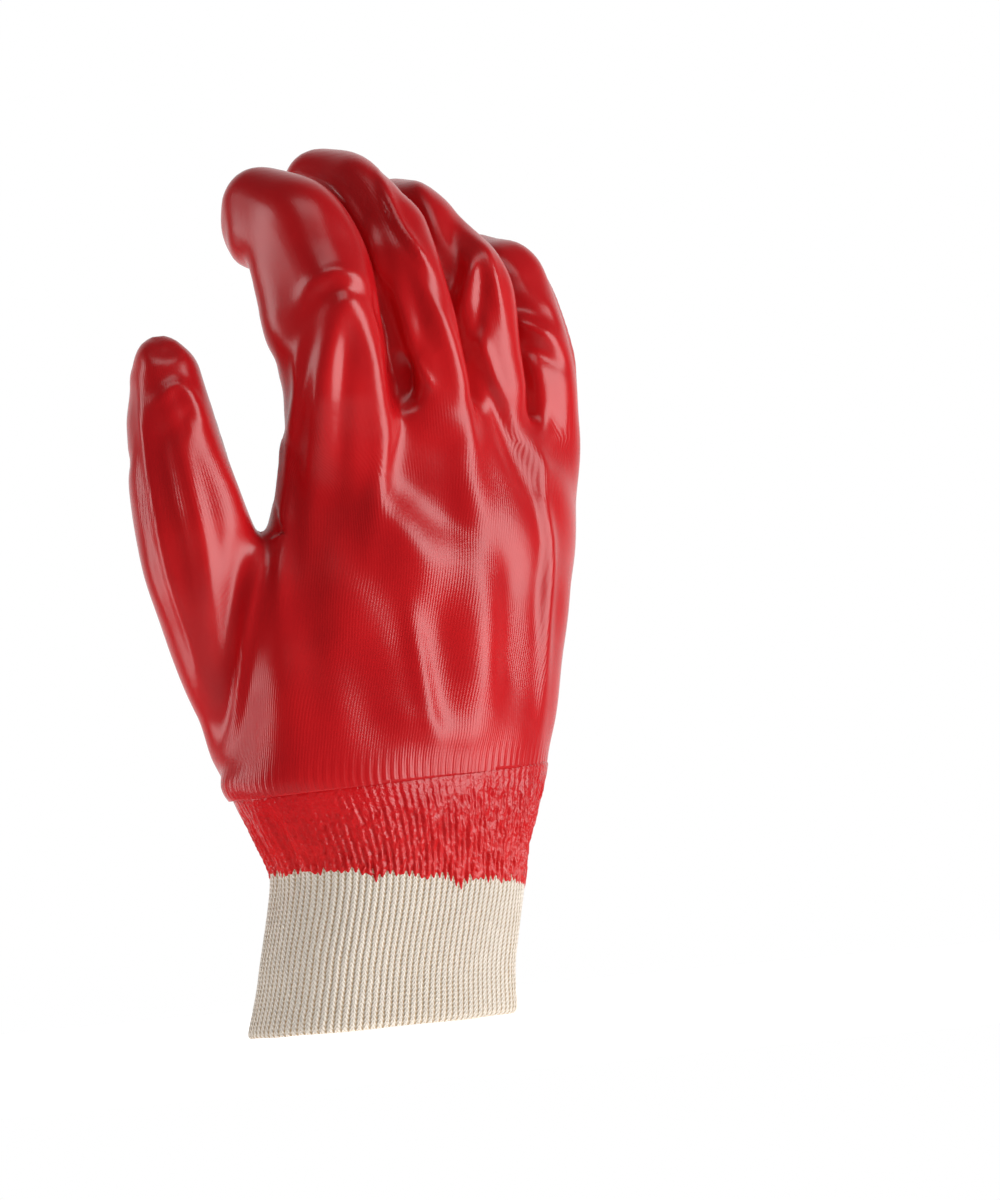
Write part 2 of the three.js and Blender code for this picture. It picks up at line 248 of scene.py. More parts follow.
# Piece, share of its height, shift as a share of the lean, width, depth, arch, size it follows
trunk_table = [
    ("cuff", 0.00, 0.000, 1.050, 1.05, 0.00, "wrist"),
    ("cuff", 0.40, 0.090, 1.000, 1.00, 0.00, "wrist"),
    ("cuff", 1.00, 0.260, 1.000, 1.00, 0.00, "wrist"),
    ("band", 0.50, 0.270, 1.120, 1.05, 0.00, "wrist"),
    ("band", 1.00, 0.260, 0.960, 1.17, 0.00, "palm"),
    ("hand", 0.14, 0.350, 0.990, 1.16, 0.03, "palm"),
    ("hand", 0.35, 0.520, 0.990, 1.12, 0.07, "palm"),
    ("hand", 0.55, 0.700, 0.990, 1.00, 0.12, "palm"),
    ("hand", 0.75, 0.870, 0.980, 0.80, 0.17, "palm"),
    ("hand", 0.90, 0.995, 0.965, 0.58, 0.20, "palm"),
]
trunk_places = np.array([[shift * hand_lean, 0, base[part][0] + rise * base[part][1]]
                         for part, rise, shift, *_ in trunk_table])
trunk_sizes = np.array([[width * size[follows][0], depth * size[follows][1], arch * size[follows][1]]
                        for *_, width, depth, arch, follows in trunk_table])

trunk_t = np.linspace(0, 1, 600)
trunk_fine = curve_through(trunk_places, trunk_t)
trunk_fine_sizes = curve_through(trunk_sizes, trunk_t)


def trunk_at(height):
    """The trunk's middle across, width, depth and arch at each height, read off its curves."""
    columns = [trunk_fine[:, 0], *trunk_fine_sizes.T]
    return [np.interp(height, trunk_fine[:, 2], column) for column in columns]


def trunk_points(height, angle, grow=0.0, widths=None):
    """The trunk's surface at heights and angles: an oval whose sides bend by the arch.

    grow stands it out evenly. The little-finger side drops with the square of how far
    out to the side a point is. widths takes the place of the table's width and depth."""
    across, width, depth, arch = trunk_at(height)
    if widths is not None:
        width, depth = widths
    x, y = oval(angle, width + 2 * grow, depth + 2 * grow, TRUNK_SQUARENESS)
    aside = x / (width / 2)
    rise = smooth_step((height - hand_base) / palm_height, 0.3, 0.9)
    drop = little_drop * rise * np.maximum(aside, 0) ** 2
    return np.stack(np.broadcast_arrays(across + x, y + arch * aside ** 2, height - drop), axis=-1)


print("trunk from 0 to", round(float(trunk_fine[-1, 2]), 1), "mm")

# %% [markdown]
# ## The digits
#
# Each finger is a tube along a spine with four bones. The spine starts inside the hand and
# curls toward the palm, most at its last two bones, because a former's fingers are a
# little bent. The thumb starts low in the heel of the hand and is turned about its length.

# %% The bones of each digit
# Name, length, width, where it starts in front and sunk, turn, first section, then rows for
# the bones: share of the length, lean, curl, width, depth.
finger_table = [
    ("index", 98.0, 28.0, 0.02, 0.20, 0.0, (0.85, 0.8),
     [(0.24, 2, 0, 1.02, 1.10), (0.29, 2, 3, 1.00, 1.12),
      (0.25, 0, 27, 0.96, 1.00), (0.31, -2, 66, 0.86, 0.86)]),
    ("middle", 109.0, 24.0, -0.01, 0.20, 0.0, (0.85, 0.8),
     [(0.26, 2, 0, 1.00, 1.14), (0.29, 2, 10, 0.98, 1.16),
      (0.26, 1, 36, 0.97, 1.08), (0.28, -2, 72, 0.90, 0.90)]),
    ("ring", 98.0, 22.5, 0.04, 0.20, 0.0, (0.85, 0.8),
     [(0.26, 2, 0, 1.00, 1.16), (0.29, 2, 12, 1.00, 1.16),
      (0.27, 1, 38, 0.97, 1.08), (0.28, -3, 70, 0.90, 0.92)]),
    ("little", 80.0, 23.5, 0.17, 0.22, 0.0, (0.85, 0.8),
     [(0.26, 2, 0, 1.00, 1.06), (0.29, 2, 12, 0.98, 1.06),
      (0.25, 1, 36, 0.95, 1.00), (0.30, -3, 68, 0.88, 0.88)]),
]
thumb_row = ("thumb", 132.0, 27.0, 0.20, 0.98, -28.0, (1.5, 1.1),
             [(0.29, -25, 8, 1.36, 1.14), (0.30, -12, 6, 1.18, 1.08),
              (0.20, -4, 8, 0.95, 0.98), (0.21, 0, 12, 0.74, 0.84)])
THUMB_ASIDE = -0.2
TIP_ROUNDNESS = 0.45


def digit_spine(row, start_x):
    """The joints of a digit and its sections: each bone is a step along its lean and curl."""
    name, length, width, front, sunk, turn, start, bones = row
    joints = [np.array([start_x, front * palm_depth, web_height - sunk * palm_height])]
    for share, lean, curl, *_ in bones:
        lean, curl = np.radians(lean), np.radians(curl)
        way = np.array([np.sin(lean) * np.cos(curl), np.sin(curl), np.cos(lean) * np.cos(curl)])
        joints.append(joints[-1] + way * share * length)
    sections = [start] + [(w, d) for *_, w, d in bones]
    return {
        "name": name, "width": width, "turn": np.radians(turn), "joints": np.array(joints),
        "sections": np.pad(np.array(sections) * width, ((0, 0), (0, 1))), "dome": TIP_ROUNDNESS * width,
    }


row_width = sum(row[2] for row in finger_table) + finger_gap * (len(finger_table) - 1)
reached = trunk_fine[-1, 0] - row_width / 2
digits = []
for row in finger_table:
    digits.append(digit_spine(row, reached + row[2] / 2))
    reached += row[2] + finger_gap
band_top_across = 0.26 * hand_lean
digits.append(digit_spine(thumb_row, band_top_across + THUMB_ASIDE * palm_width))


def digit_frames(digit, shares):
    """Places, tangents, side and front directions and sections at shares of the spine."""
    t, length = even_steps(digit["joints"], shares)
    step = 1e-3
    ahead = curve_through(digit["joints"], np.minimum(t + step, 1))
    behind = curve_through(digit["joints"], np.maximum(t - step, 0))
    tangent = (ahead - behind) / np.linalg.norm(ahead - behind, axis=1)[:, None]
    across = np.array([np.cos(digit["turn"]), np.sin(digit["turn"]), 0.0])
    side = across - (tangent @ across)[:, None] * tangent
    side /= np.linalg.norm(side, axis=1)[:, None]
    front = np.cross(tangent, side)
    section = curve_through(digit["sections"], t)[:, :2]
    return curve_through(digit["joints"], t), tangent, side, front, section, length


CREASE_DEPTH, KNUCKLE_RISE = 1.6, 1.2  # how far a bent joint goes in and stands out
CREASE_SPREAD = 0.3           # half length of a joint's fold as a share of the digit's width


def digit_rings(digit, swell=0.0, along=70, around=72, dome_steps=14):
    """Rings of the digit, square to its spine, and a dome: a quarter turn beyond the neck.
    swell stands the surface out evenly, or in where it is negative.

    At the bent joints the rings fold in on the palm side and stand out over the back, by a
    bell of the distance to the joint and the cube of the sine of the angle."""
    neck = 1 - digit["dome"] / even_steps(digit["joints"], [1.0])[1]
    quarter = np.linspace(0, np.pi / 2, dome_steps + 1)[1:-1]
    shares = np.concatenate([np.linspace(0, neck, along), np.full(len(quarter), neck)])
    forward = np.concatenate([np.zeros(along), (digit["dome"] + swell) * np.sin(quarter)])
    scale = np.concatenate([np.ones(along), np.cos(quarter)])
    place, tangent, side, front, section, _ = digit_frames(digit, shares)
    bent = digit["joints"][2:-1]
    nearest = np.linalg.norm(place[:, None] - bent[None], axis=2).min(axis=1)
    bell = np.exp(-(nearest / (CREASE_SPREAD * digit["width"])) ** 2)
    angle = np.linspace(0, 2 * np.pi, around, endpoint=False)
    facing = np.sin(angle)
    grow = swell - np.where(facing > 0, CREASE_DEPTH, KNUCKLE_RISE) * facing ** 3 * bell[:, None]
    x, y = oval(angle, section[:, :1] + 2 * grow, section[:, 1:] + 2 * grow, DIGIT_SQUARENESS)
    middle = place + tangent * forward[:, None]
    return (middle[:, None] + side[:, None] * (x * scale[:, None])[..., None]
            + front[:, None] * (y * scale[:, None])[..., None])


for digit in digits:
    root, tip = np.round(digit["joints"][[0, -1]], 1)
    print(digit["name"], "starts at", root, "ends at", tip)

# %% [markdown]
# ## One skin for the hand
#
# A dip has no seams: the coat runs over the webs between the fingers in soft curves. The
# closed tubes of the palm and the digits could be joined with booleans and bevelled, but
# bevels fail where five tubes meet. Instead all tubes are turned into one skin by a voxel
# remesh, with cells of little more than a millimetre, and a few rounds of smoothing round
# the webs off. After that the mesh is only points and normals, which numpy can move.

# %% Join the tubes and remesh them
SKIN_START = 60.0             # inside the dipped ribs, cut off later


def palm_rings(swell, steps=90, around=200, dome_steps=16):
    """Rings of the palm and a dome over the webs: the width and depth shrink by a quarter turn."""
    angle = np.linspace(0, 2 * np.pi, around, endpoint=False)
    top = float(trunk_fine[-1, 2])
    heights = np.linspace(SKIN_START, top, steps)[:, None]
    round_over = web_height - top
    quarter = np.linspace(0, np.radians(84), dome_steps)[1:, None]
    _, width, depth, _ = trunk_at(top)
    narrower = (width - 2 * round_over * (1 - np.cos(quarter)), depth * np.cos(quarter))
    dome = trunk_points(top + 0 * quarter, angle, grow=swell * np.cos(quarter), widths=narrower)
    dome[..., 2] += (round_over + swell) * np.sin(quarter)
    return np.concatenate([trunk_points(heights, angle, grow=swell), dome])


def remeshed_skin(name, swell, cell, rounds):
    """One skin over the palm and all digits: a voxel remesh of the joined tubes, smoothed."""
    tubes = [closed_loft("palm_tube", palm_rings(swell))]
    tubes += [closed_loft(digit["name"] + "_tube", digit_rings(digit, swell)) for digit in digits]
    together = bmesh.new()
    for tube in tubes:
        together.from_mesh(tube.data)
    mesh = bpy.data.meshes.new(name)
    together.to_mesh(mesh)
    together.free()
    for tube in tubes:
        bpy.data.objects.remove(tube)
    piece = bpy.data.objects.new(name, mesh)
    bpy.context.scene.collection.objects.link(piece)
    remesh = piece.modifiers.new("one_skin", "REMESH")
    remesh.mode = "VOXEL"
    remesh.voxel_size = cell * MM
    smooth = piece.modifiers.new("soft_webs", "SMOOTH")
    smooth.factor = 0.5
    smooth.iterations = rounds
    bake_modifiers(piece)
    return piece


SKIN_WALL = 1.5
skin = remeshed_skin("dipped_hand_skin", 0.0, 1.12, 8)
lining = remeshed_skin("hand_lining", -SKIN_WALL, 2.4, 3)
print("skin has", len(skin.data.vertices), "points, its inside", len(lining.data.vertices))

# %% [markdown]
# ## Which digit a point belongs to
#
# Folds and stitches follow the digits, so every point needs to know its nearest spine, how
# far along it is and its angle round it. The distance is counted in half-widths of the
# section there, so a thick thumb doesn't lose points to a thin finger.

# %% Coordinates on the digits and the trunk
def around_digit(digit, points, samples=90):
    """For each point: its distance in half-widths, its place along the spine, its angle."""
    place, tangent, side, front, section, length = digit_frames(digit, np.linspace(0, 1, samples))
    squared = (points ** 2).sum(1)[:, None] + (place ** 2).sum(1)[None] - 2 * points @ place.T
    near = squared.argmin(axis=1)
    offset = points - place[near]
    x = (offset * side[near]).sum(1)
    y = (offset * front[near]).sum(1)
    beyond = (offset * tangent[near]).sum(1)
    reach = np.sqrt((x / section[near, 0]) ** 2 + (y / section[near, 1]) ** 2
                    + (beyond / digit["width"]) ** 2)
    along = near / (samples - 1) * length + beyond
    return 2 * reach, along, np.arctan2(y / section[near, 1], x / section[near, 0])


def around_trunk(points):
    """For each point its height and its angle round the trunk's section at that height."""
    across, width, depth, arch = trunk_at(points[:, 2])
    x = (points[:, 0] - across) / (width / 2)
    y = (points[:, 1] - arch * x ** 2) / (depth / 2)
    power = TRUNK_SQUARENESS / 2
    angle = np.arctan2(np.sign(y) * np.abs(y) ** power, np.sign(x) * np.abs(x) ** power)
    return points[:, 2], angle


def around_digits(points):
    """The distances, places and angles of around_digit for all digits, a row for each."""
    return (np.array(rows) for rows in zip(*(around_digit(digit, points) for digit in digits)))


digit_lengths = np.array([even_steps(digit["joints"], [1.0])[1] for digit in digits])
names = [digit["name"] for digit in digits] + ["hand"]
HAND = names.index("hand")
FREE_FROM = [0.30, 0.30, 0.30, 0.30, 0.52]  # share of each spine where its digit is free
REACH_LIMIT = 1.45            # half-widths from a spine beyond which a point is the hand's


def skin_regions(points):
    """The digit each point belongs to, or the hand, with the coordinates on all of them."""
    reach, along, turn = around_digits(points)
    free = along / digit_lengths[:, None] > np.array(FREE_FROM)[:, None]
    reach = np.where(free, reach, 9.0)
    region = reach.argmin(axis=0)
    region = np.where(reach.min(axis=0) < REACH_LIMIT, region, HAND)
    hand_along, hand_turn = around_trunk(points)
    return region, np.vstack([along, hand_along]), np.vstack([turn, hand_turn])


print("digit lengths:", dict(zip(names, np.round(digit_lengths, 1).tolist())))

# %% [markdown]
# ## Folds seen in the photograph
#
# A stuffed, dipped glove keeps the creases of its making and packing: long ridges along
# the sides of the fingers, hooked folds at the bends, hollows between the knuckles. Each is
# drawn as a short line in the picture, in millimetres, with a width and a height. Points
# that face the camera and lie near the line are moved along their normals by a bell
# curve, and the ends of the line fade out. A lip adds a rise on one side and a hollow on
# the other, as where cloth folds over itself. Two more tables shape the outline, and the
# creases of the palm, which are drawn as seen from straight in front of it.

# %% Drawing a fold on the surface
def near_line(places, line, steps=14):
    """Distance of each place to a smooth line, its sign by side, and the share along it."""
    line = np.asarray(line, dtype=float)
    path = curve_through(np.pad(line, ((0, 0), (0, 1))), np.linspace(0, 1, steps))[:, :2]
    start, way = path[:-1], np.diff(path, axis=0)
    length = np.maximum(np.linalg.norm(way, axis=1), 1e-9)
    offset = places[:, None] - start[None]
    share = np.clip((offset * way).sum(-1) / length ** 2, 0, 1)
    gap = offset - share[..., None] * way
    distance = np.linalg.norm(gap, axis=-1)
    best = distance.argmin(axis=1)
    pick = np.arange(len(places))
    cross = way[best, 0] * gap[pick, best, 1] - way[best, 1] * gap[pick, best, 0]
    return distance[pick, best] * np.sign(cross), (best + share[pick, best]) / (steps - 1)


def fold_shift(places, line, width, lift, lip=0.0, fade=0.4):
    """A fold's height: a bell across the line plus a lip, swelling up and dying away along it."""
    distance, share = near_line(places, line)
    ratio = distance / width
    bell = np.exp(-ratio ** 2)
    ends = smooth_step(np.minimum(share, 1 - share), 0, fade)
    return (lift * bell + lip * ratio * np.exp(0.5 - 0.5 * ratio ** 2)) * ends


print("a fold of width 2 and height 1 lifts a point 1 mm from its middle by",
      fold_shift(np.array([[0.0, 1.0]]), [(-9, 0), (9, 0)], 2.0, 1.0).round(2))

# %% The folds of the back
# Regions, line in the picture (across, up), width, lift, and a lip where it has one
back_folds = [
    ("index", [(-23, 240), (-20, 226), (-16, 211), (-12, 196)], 1.8, 0.9, 0.3),
    ("index", [(-7, 198), (0, 209), (8, 212), (19, 205)], 2.2, 0.8),
    ("index", [(22, 195), (13, 206), (4, 206), (-5, 195)], 2.8, -1.3),
    ("index hand", [(-1, 200), (-5, 190), (-6.6, 180), (-10, 164), (-14, 136)], 1.6, 1.1),
    ("index hand", [(16, 216), (8, 203), (2.5, 188), (-2, 168), (-8, 140), (-12, 110)], 3.6, 2.2),
    ("index hand", [(6, 214), (11.5, 200), (15.5, 183), (15.5, 166), (12, 146), (6, 120)], 3.4, 2.0),
    ("index hand", [(9, 204), (7, 186), (4, 162), (0, 136)], 3.0, -1.1),
    ("middle", [(21, 246), (22.5, 234), (25.5, 224), (31, 214), (36, 204)], 1.5, 1.5, 0.3),
    ("middle", [(11, 244), (16, 231), (18, 216)], 5.0, -1.4),
    ("middle", [(16, 229), (19, 217), (20.6, 202)], 1.7, 1.0),
    ("middle", [(21, 212), (24.5, 198), (27.5, 184)], 2.0, 1.0),
    ("middle", [(24, 218), (29.5, 202), (31, 184)], 2.6, -1.0),
    ("middle hand", [(26, 214), (33, 201), (35.4, 192), (37.2, 183), (38.5, 168), (41, 148)], 2.6, 1.9, 0.2),
    ("middle hand", [(24.8, 190), (28, 182.5), (31.8, 175)], 1.3, 1.2),
    ("ring", [(29, 241), (34, 228), (37, 214)], 2.6, 1.1),
    ("ring", [(40, 229), (41, 215), (37.5, 198)], 3.4, -1.9),
    ("ring", [(47.5, 218), (43.5, 205), (39, 190)], 2.4, 1.6),
    ("ring", [(43, 226), (48.5, 213), (50.5, 204), (53, 186)], 1.6, 1.4, 0.3),
    ("ring", [(48.5, 210), (46.2, 197), (43, 184)], 1.9, -1.1),
    ("ring hand", [(43.6, 196), (46.2, 186), (50, 174), (57, 156)], 2.2, 1.6),
    ("little", [(48, 217), (54.5, 209.5), (63, 199)], 3.2, 1.4),
    ("little", [(51, 199), (60, 196.5), (70, 191)], 2.6, -1.2),
    ("little", [(52, 195), (61, 190.5), (71, 184)], 2.3, 1.5),
    ("little", [(54, 188), (62, 184), (72, 177)], 2.4, -1.1),
    ("little hand", [(59, 190), (61, 172), (58, 144)], 2.8, 1.3),
    ("little hand", [(55, 172), (59.6, 160), (65, 150)], 2.2, -0.9),
    ("index middle hand", [(17, 214), (20, 200), (23, 188), (24.2, 176)], 2.4, -1.6),
    ("index middle hand", [(22.6, 190), (23.6, 181), (24.5, 170)], 3.0, -5.0),
    ("thumb hand", [(-43.5, 186), (-40, 160), (-37.5, 142), (-37, 126), (-40, 100)], 3.2, 1.6, -0.3),
    ("thumb hand", [(-47.5, 186), (-45.5, 162), (-42.5, 138), (-40.5, 110)], 3.0, -1.2),
    ("thumb hand", [(-52, 192), (-51.4, 178), (-48.8, 150), (-46, 132), (-43, 112), (-39, 90)],
     1.7, 1.3, 0.3),
    ("thumb", [(-49, 201), (-43, 196), (-37, 198)], 3.4, -1.2),
    ("thumb", [(-52, 177), (-46, 181), (-40, 184.5), (-35, 179), (-33, 168)], 2.2, 1.2),
    ("thumb", [(-51, 170), (-44, 171), (-38, 176), (-35, 172)], 3.4, -0.9),
    ("thumb hand", [(-21, 156), (-26, 133), (-30, 117), (-34, 99), (-40, 74)], 5.2, -3.6),
    ("thumb hand", [(-18, 146), (-22.7, 131), (-27, 117), (-30.5, 102), (-34, 88), (-40, 70)], 1.8, 1.9),
    ("hand index", [(-3, 192), (-12.3, 154), (-16.5, 128), (-19, 104)], 2.8, 1.4),
    ("hand", [(-14, 138), (-18, 108), (-18.5, 86), (-17, 54)], 6.5, 1.3),
    ("hand", [(-5, 166), (-9, 135), (-10, 110), (-11, 74)], 6.0, -1.7),
    ("hand", [(35.5, 186), (38, 158), (42, 122)], 4.6, 1.8),
    ("hand middle", [(10, 166), (22, 169), (35, 165), (54, 146)], 5.4, 1.3),
    ("hand", [(-4, 170), (11, 148), (23, 130), (36, 98)], 6.0, 1.3),
    ("hand", [(12, 162), (28, 145), (50, 128)], 6.5, -1.4),
    ("hand", [(-8, 154), (8, 130), (18, 108), (22, 76)], 7.0, -1.2),
    ("hand", [(41, 150), (38, 112), (36, 90), (28, 56)], 5.4, 1.6),
    ("hand", [(28, 132), (27, 104), (26, 78)], 4.6, -1.1),
    ("hand ring little", [(44.5, 192), (50, 170), (53.5, 157), (60, 132)], 3.6, -2.8),
    ("hand", [(63, 170), (58.9, 146), (59, 130), (56.6, 112), (54.2, 90), (49, 60)], 1.6, 1.5, 0.3),
    ("hand", [(49, 140), (46.5, 108), (44, 74)], 4.4, -1.2),
    ("hand", [(19, 126), (20.5, 100), (22.5, 66)], 2.8, 1.0),
    ("hand", [(4, 96), (18, 84), (30, 80), (50, 84)], 4.4, 0.9),
    ("hand", [(-4, 112), (4, 94), (9, 70)], 8.0, -1.3),
]

print("folds drawn on the back:", len(back_folds))

# %% The outline and the creases of the palm
# Where the outline seen in the picture swells out or stays flat
outline_folds = [
    ("index hand", [(-26, 233), (-19, 219), (-14.5, 208), (-11, 194), (-9, 178)], 6.0, 5.4),
    ("middle", [(14, 250), (26, 244), (34, 236), (38, 226)], 7.0, -4.0),
    ("ring", [(30, 244), (40, 236), (46, 226), (50, 212)], 5.0, -3.0),
    ("little", [(50, 222), (60, 219), (68, 212), (72, 204)], 5.0, 2.0),
    ("little hand", [(67, 218), (75, 198), (78, 172), (76, 132)], 6.0, -2.4),
    ("thumb hand", [(-58, 190), (-57, 160), (-52, 130), (-46, 104)], 6.0, 1.8),
    ("thumb", [(-52, 200), (-56, 189), (-58, 174)], 5.0, -2.2),
    ("thumb", [(-53, 197), (-44, 201), (-35, 197)], 5.0, 1.6),
    ("thumb hand", [(-45.5, 91), (-41.5, 80), (-38, 71), (-33, 61)], 5.0, 3.0),
]

# The palm side, in mm across and up as seen from straight in front of the palm
palm_folds = [
    ("hand", [(-22, 148), (-4, 146), (12, 134), (20, 112), (20, 84)], 2.4, -2.0),
    ("hand", [(-24, 150), (2, 152), (28, 144), (50, 132)], 2.4, -1.8),
    ("hand", [(-2, 166), (22, 162), (46, 152), (66, 148)], 2.2, -1.7),
    ("hand", [(-14, 140), (0, 134), (10, 120), (10, 96)], 5.0, 1.8),
    ("hand", [(36, 130), (40, 112), (36, 90)], 6.0, 1.6),
    ("hand", [(-14, 100), (0, 90), (14, 78)], 3.6, -1.4),
    ("hand", [(26, 96), (34, 84), (48, 78)], 3.2, -1.2),
    ("hand thumb", [(-30, 132), (-22, 120), (-10, 116)], 2.4, -1.3),
    ("hand thumb", [(-36, 118), (-24, 106), (-12, 104)], 2.4, 1.1),
    ("index", [(-16, 186), (-2, 190), (12, 187)], 3.0, -1.0),
    ("middle", [(12, 192), (24, 196), (36, 193)], 3.0, -1.0),
    ("ring", [(36, 190), (47, 193), (60, 190)], 3.0, -1.0),
    ("little", [(60, 176), (70, 179), (82, 176)], 3.0, -1.0),
    ("thumb", [(-58, 168), (-46, 164), (-34, 166)], 3.0, -1.0),
]

print("lines on the outline:", len(outline_folds), "and on the palm:", len(palm_folds))

# %% Seams, swells and the sum of them all
# The side seams of the liner: digit, angle round it in degrees, where it starts and ends as
# shares of the digit's length
seam_table = [
    ("index", 334, 0.40, 0.93),
    ("middle", 204, 0.40, 0.93), ("middle", 334, 0.40, 0.93),
    ("ring", 204, 0.40, 0.93), ("ring", 334, 0.40, 0.93),
    ("little", 204, 0.40, 0.93), ("little", 330, 0.30, 0.93),
    ("thumb", 20, 0.62, 0.95),
]
SEAM_WIDTH, SEAM_RISE = 1.3, 0.7
SEAM_FADES = 0.12, 0.15       # shares of the length over which a seam comes up and dies away
SWELL_LENGTHS = (22.0, 44.0)  # the shortest and the longest soft swell of the coat
SWELL_HEIGHT = 0.5


def soft_swells(points, waves=14, seed=5):
    """Slow swells over the whole skin: sines along seeded directions, added up."""
    local = np.random.default_rng(seed)
    way = local.normal(size=(waves, 3))
    way /= np.linalg.norm(way, axis=1)[:, None]
    way *= 2 * np.pi / local.uniform(*SWELL_LENGTHS, waves)[:, None]
    phase = local.uniform(0, 2 * np.pi, waves)
    return SWELL_HEIGHT * np.sin(points @ way.T + phase).sum(axis=1) / np.sqrt(waves)


def fold_lift(points, normals):
    """How far each point moves along its normal: swells, the drawn folds, and the seams."""
    region, along, turn = skin_regions(points)
    lift = soft_swells(points)
    sides = (
        (back_folds, picture_place(points), normals @ view_back, -0.15, 0.35),
        (outline_folds, picture_place(points), normals @ view_back, -0.9, -0.2),
        (palm_folds, points[:, [0, 2]], normals[:, 1], 0.2, 0.8),
    )
    for folds, seen, toward, least, most in sides:
        facing = smooth_step(toward, least, most)
        for wanted, line, width, *heights in folds:
            here = np.isin(region, [names.index(name) for name in wanted.split()])
            lift += fold_shift(seen, line, width, *heights) * here * facing
    for name, seam, starts, ends in seam_table:
        k = names.index(name)
        aside = within_half(turn[k] - np.radians(seam))
        share = along[k] / digit_lengths[k]
        kept = smooth_step(share, starts, starts + SEAM_FADES[0])
        kept = kept * smooth_step(ends - share, 0, SEAM_FADES[1])
        ridge = SEAM_RISE * np.exp(-(aside * digits[k]["width"] / 2 / SEAM_WIDTH) ** 2) * kept
        lift += np.where(region == k, ridge, 0)
    return lift


print("seams:", len(seam_table))

# %% Ease the skin and lift its folds
KNUCKLE_HEIGHTS = 138, 156, 168, 178     # mm: the easing starts, is full, fades and ends
THUMB_ROOT_HEIGHTS = 71, 80, 125, 150
EASE_STEP = 0.6                          # share of the way to the neighbours' mean in a round


def between(value, start, full, fade, end):
    """0 below the start and above the end, 1 from full to fade, and an even S on each side."""
    return smooth_step(value, start, full) * smooth_step(-value, -end, -fade)


def ease(mesh, weight, rounds):
    """Moves each point part of the way to the mean of its neighbours, round after round."""
    count = len(mesh.vertices)
    ends = np.empty(len(mesh.edges) * 2, dtype=np.int64)
    mesh.edges.foreach_get("vertices", ends)
    a, b = ends.reshape(-1, 2).T
    neighbours = np.bincount(ends, minlength=count)[:, None]
    points, _ = read_points(mesh)
    for _ in range(rounds):
        total = np.stack([np.bincount(a, points[b, axis], count) + np.bincount(b, points[a, axis], count)
                          for axis in range(3)], axis=-1)
        points += EASE_STEP * weight[:, None] * (total / neighbours - points)
    mesh.vertices.foreach_set("co", (points * MM).ravel())
    mesh.update()


def fold_skin(piece, rounds):
    """Eases the knuckles and the root of the thumb into the hand, then lifts the folds."""
    points, normals = read_points(piece.data)
    on_back = smooth_step(-normals[:, 1], -0.1, 0.5)
    on_thumb_side = smooth_step(-points[:, 0], -8, 6)
    knuckles = between(points[:, 2], *KNUCKLE_HEIGHTS) * on_back
    thumb_root = between(points[:, 2], *THUMB_ROOT_HEIGHTS) * on_thumb_side
    ease(piece.data, np.maximum(knuckles, thumb_root), rounds)
    points, normals = read_points(piece.data)
    lift = fold_lift(points, normals)
    points += normals * lift[:, None]
    piece.data.vertices.foreach_set("co", (points * MM).ravel())
    piece.data.update()
    return lift


lift = fold_skin(skin, 90)
fold_skin(lining, 20)
print("folds move the skin by", round(float(lift.min()), 2), "to", round(float(lift.max()), 2), "mm")

# %% Open the wrist end and join the skin to its inside
SKIN_EDGE = 68.0              # where the smooth skin ends over the ribs, at the middle
EDGE_SLANT = 0.03             # its rise to the little-finger side, mm per mm
wall = bmesh.new()
for piece, inside in ((skin, False), (lining, True)):
    half = bmesh.new()
    half.from_mesh(piece.data)
    everything = half.verts[:] + half.edges[:] + half.faces[:]
    bmesh.ops.bisect_plane(half, geom=everything, plane_co=(0, 0, SKIN_EDGE * MM),
                           plane_no=(-EDGE_SLANT, 0, 1), clear_inner=True)
    if inside:
        bmesh.ops.reverse_faces(half, faces=half.faces[:])
    half.to_mesh(piece.data)
    half.free()
    wall.from_mesh(piece.data)
rims = [edge for edge in wall.edges if edge.is_boundary]
bmesh.ops.bridge_loops(wall, edges=rims)
wall.to_mesh(skin.data)
print("open edges left:", sum(edge.is_boundary for edge in wall.edges), "faces:", len(wall.faces))
wall.free()
bpy.data.objects.remove(lining)
skin.data.shade_smooth()

# %% [markdown]
# ## The ribbed wrist: dipped band and bare cuff
#
# A rib knit alternates raised columns of stitches with sunken gutters. The bare cuff shows
# the cream yarn; higher up the same ribs are drowned in PVC, which fills the gutters a little
# and runs down into a ragged edge. Both pieces are grids: angle round the wrist by height,
# with a cosine for each rib.

# %% The way round the wrist
RIBS = 106
PER_RIB = 8                   # points of the grid in each rib
fine_angle = np.linspace(0, 2 * np.pi, 2001)
section = np.stack(oval(fine_angle, wrist_width, wrist_depth, TRUNK_SQUARENESS), axis=-1)
way_round = np.concatenate([[0], np.cumsum(np.linalg.norm(np.diff(section, axis=0), axis=1))])


def round_share(angle):
    """The share of the way round the wrist at an angle, measured along its section."""
    return np.interp(angle % (2 * np.pi), fine_angle, way_round / way_round[-1])


around = RIBS * PER_RIB
angle = np.interp(np.arange(around) / around, way_round / way_round[-1], fine_angle)
crest = 0.5 + 0.5 * np.cos(2 * np.pi * RIBS * np.arange(around) / around)
print("rib pitch at the wrist", round(way_round[-1] / RIBS, 2), "mm")

# %% The ragged edge of the dip
EDGE_HEIGHT, EDGE_ASIDE, EDGE_FRONT = 41.0, 4.9, 0.7  # its middle, and its slant two ways
TOOTH_LENGTH = 1.5
drips = [(240, 2.2), (275, 2.6), (205, 1.0), (300, 0.9), (60, 2.0), (120, 1.5), (340, 1.6)]  # degrees, mm
DRIP_SPREAD = 3.4             # degrees


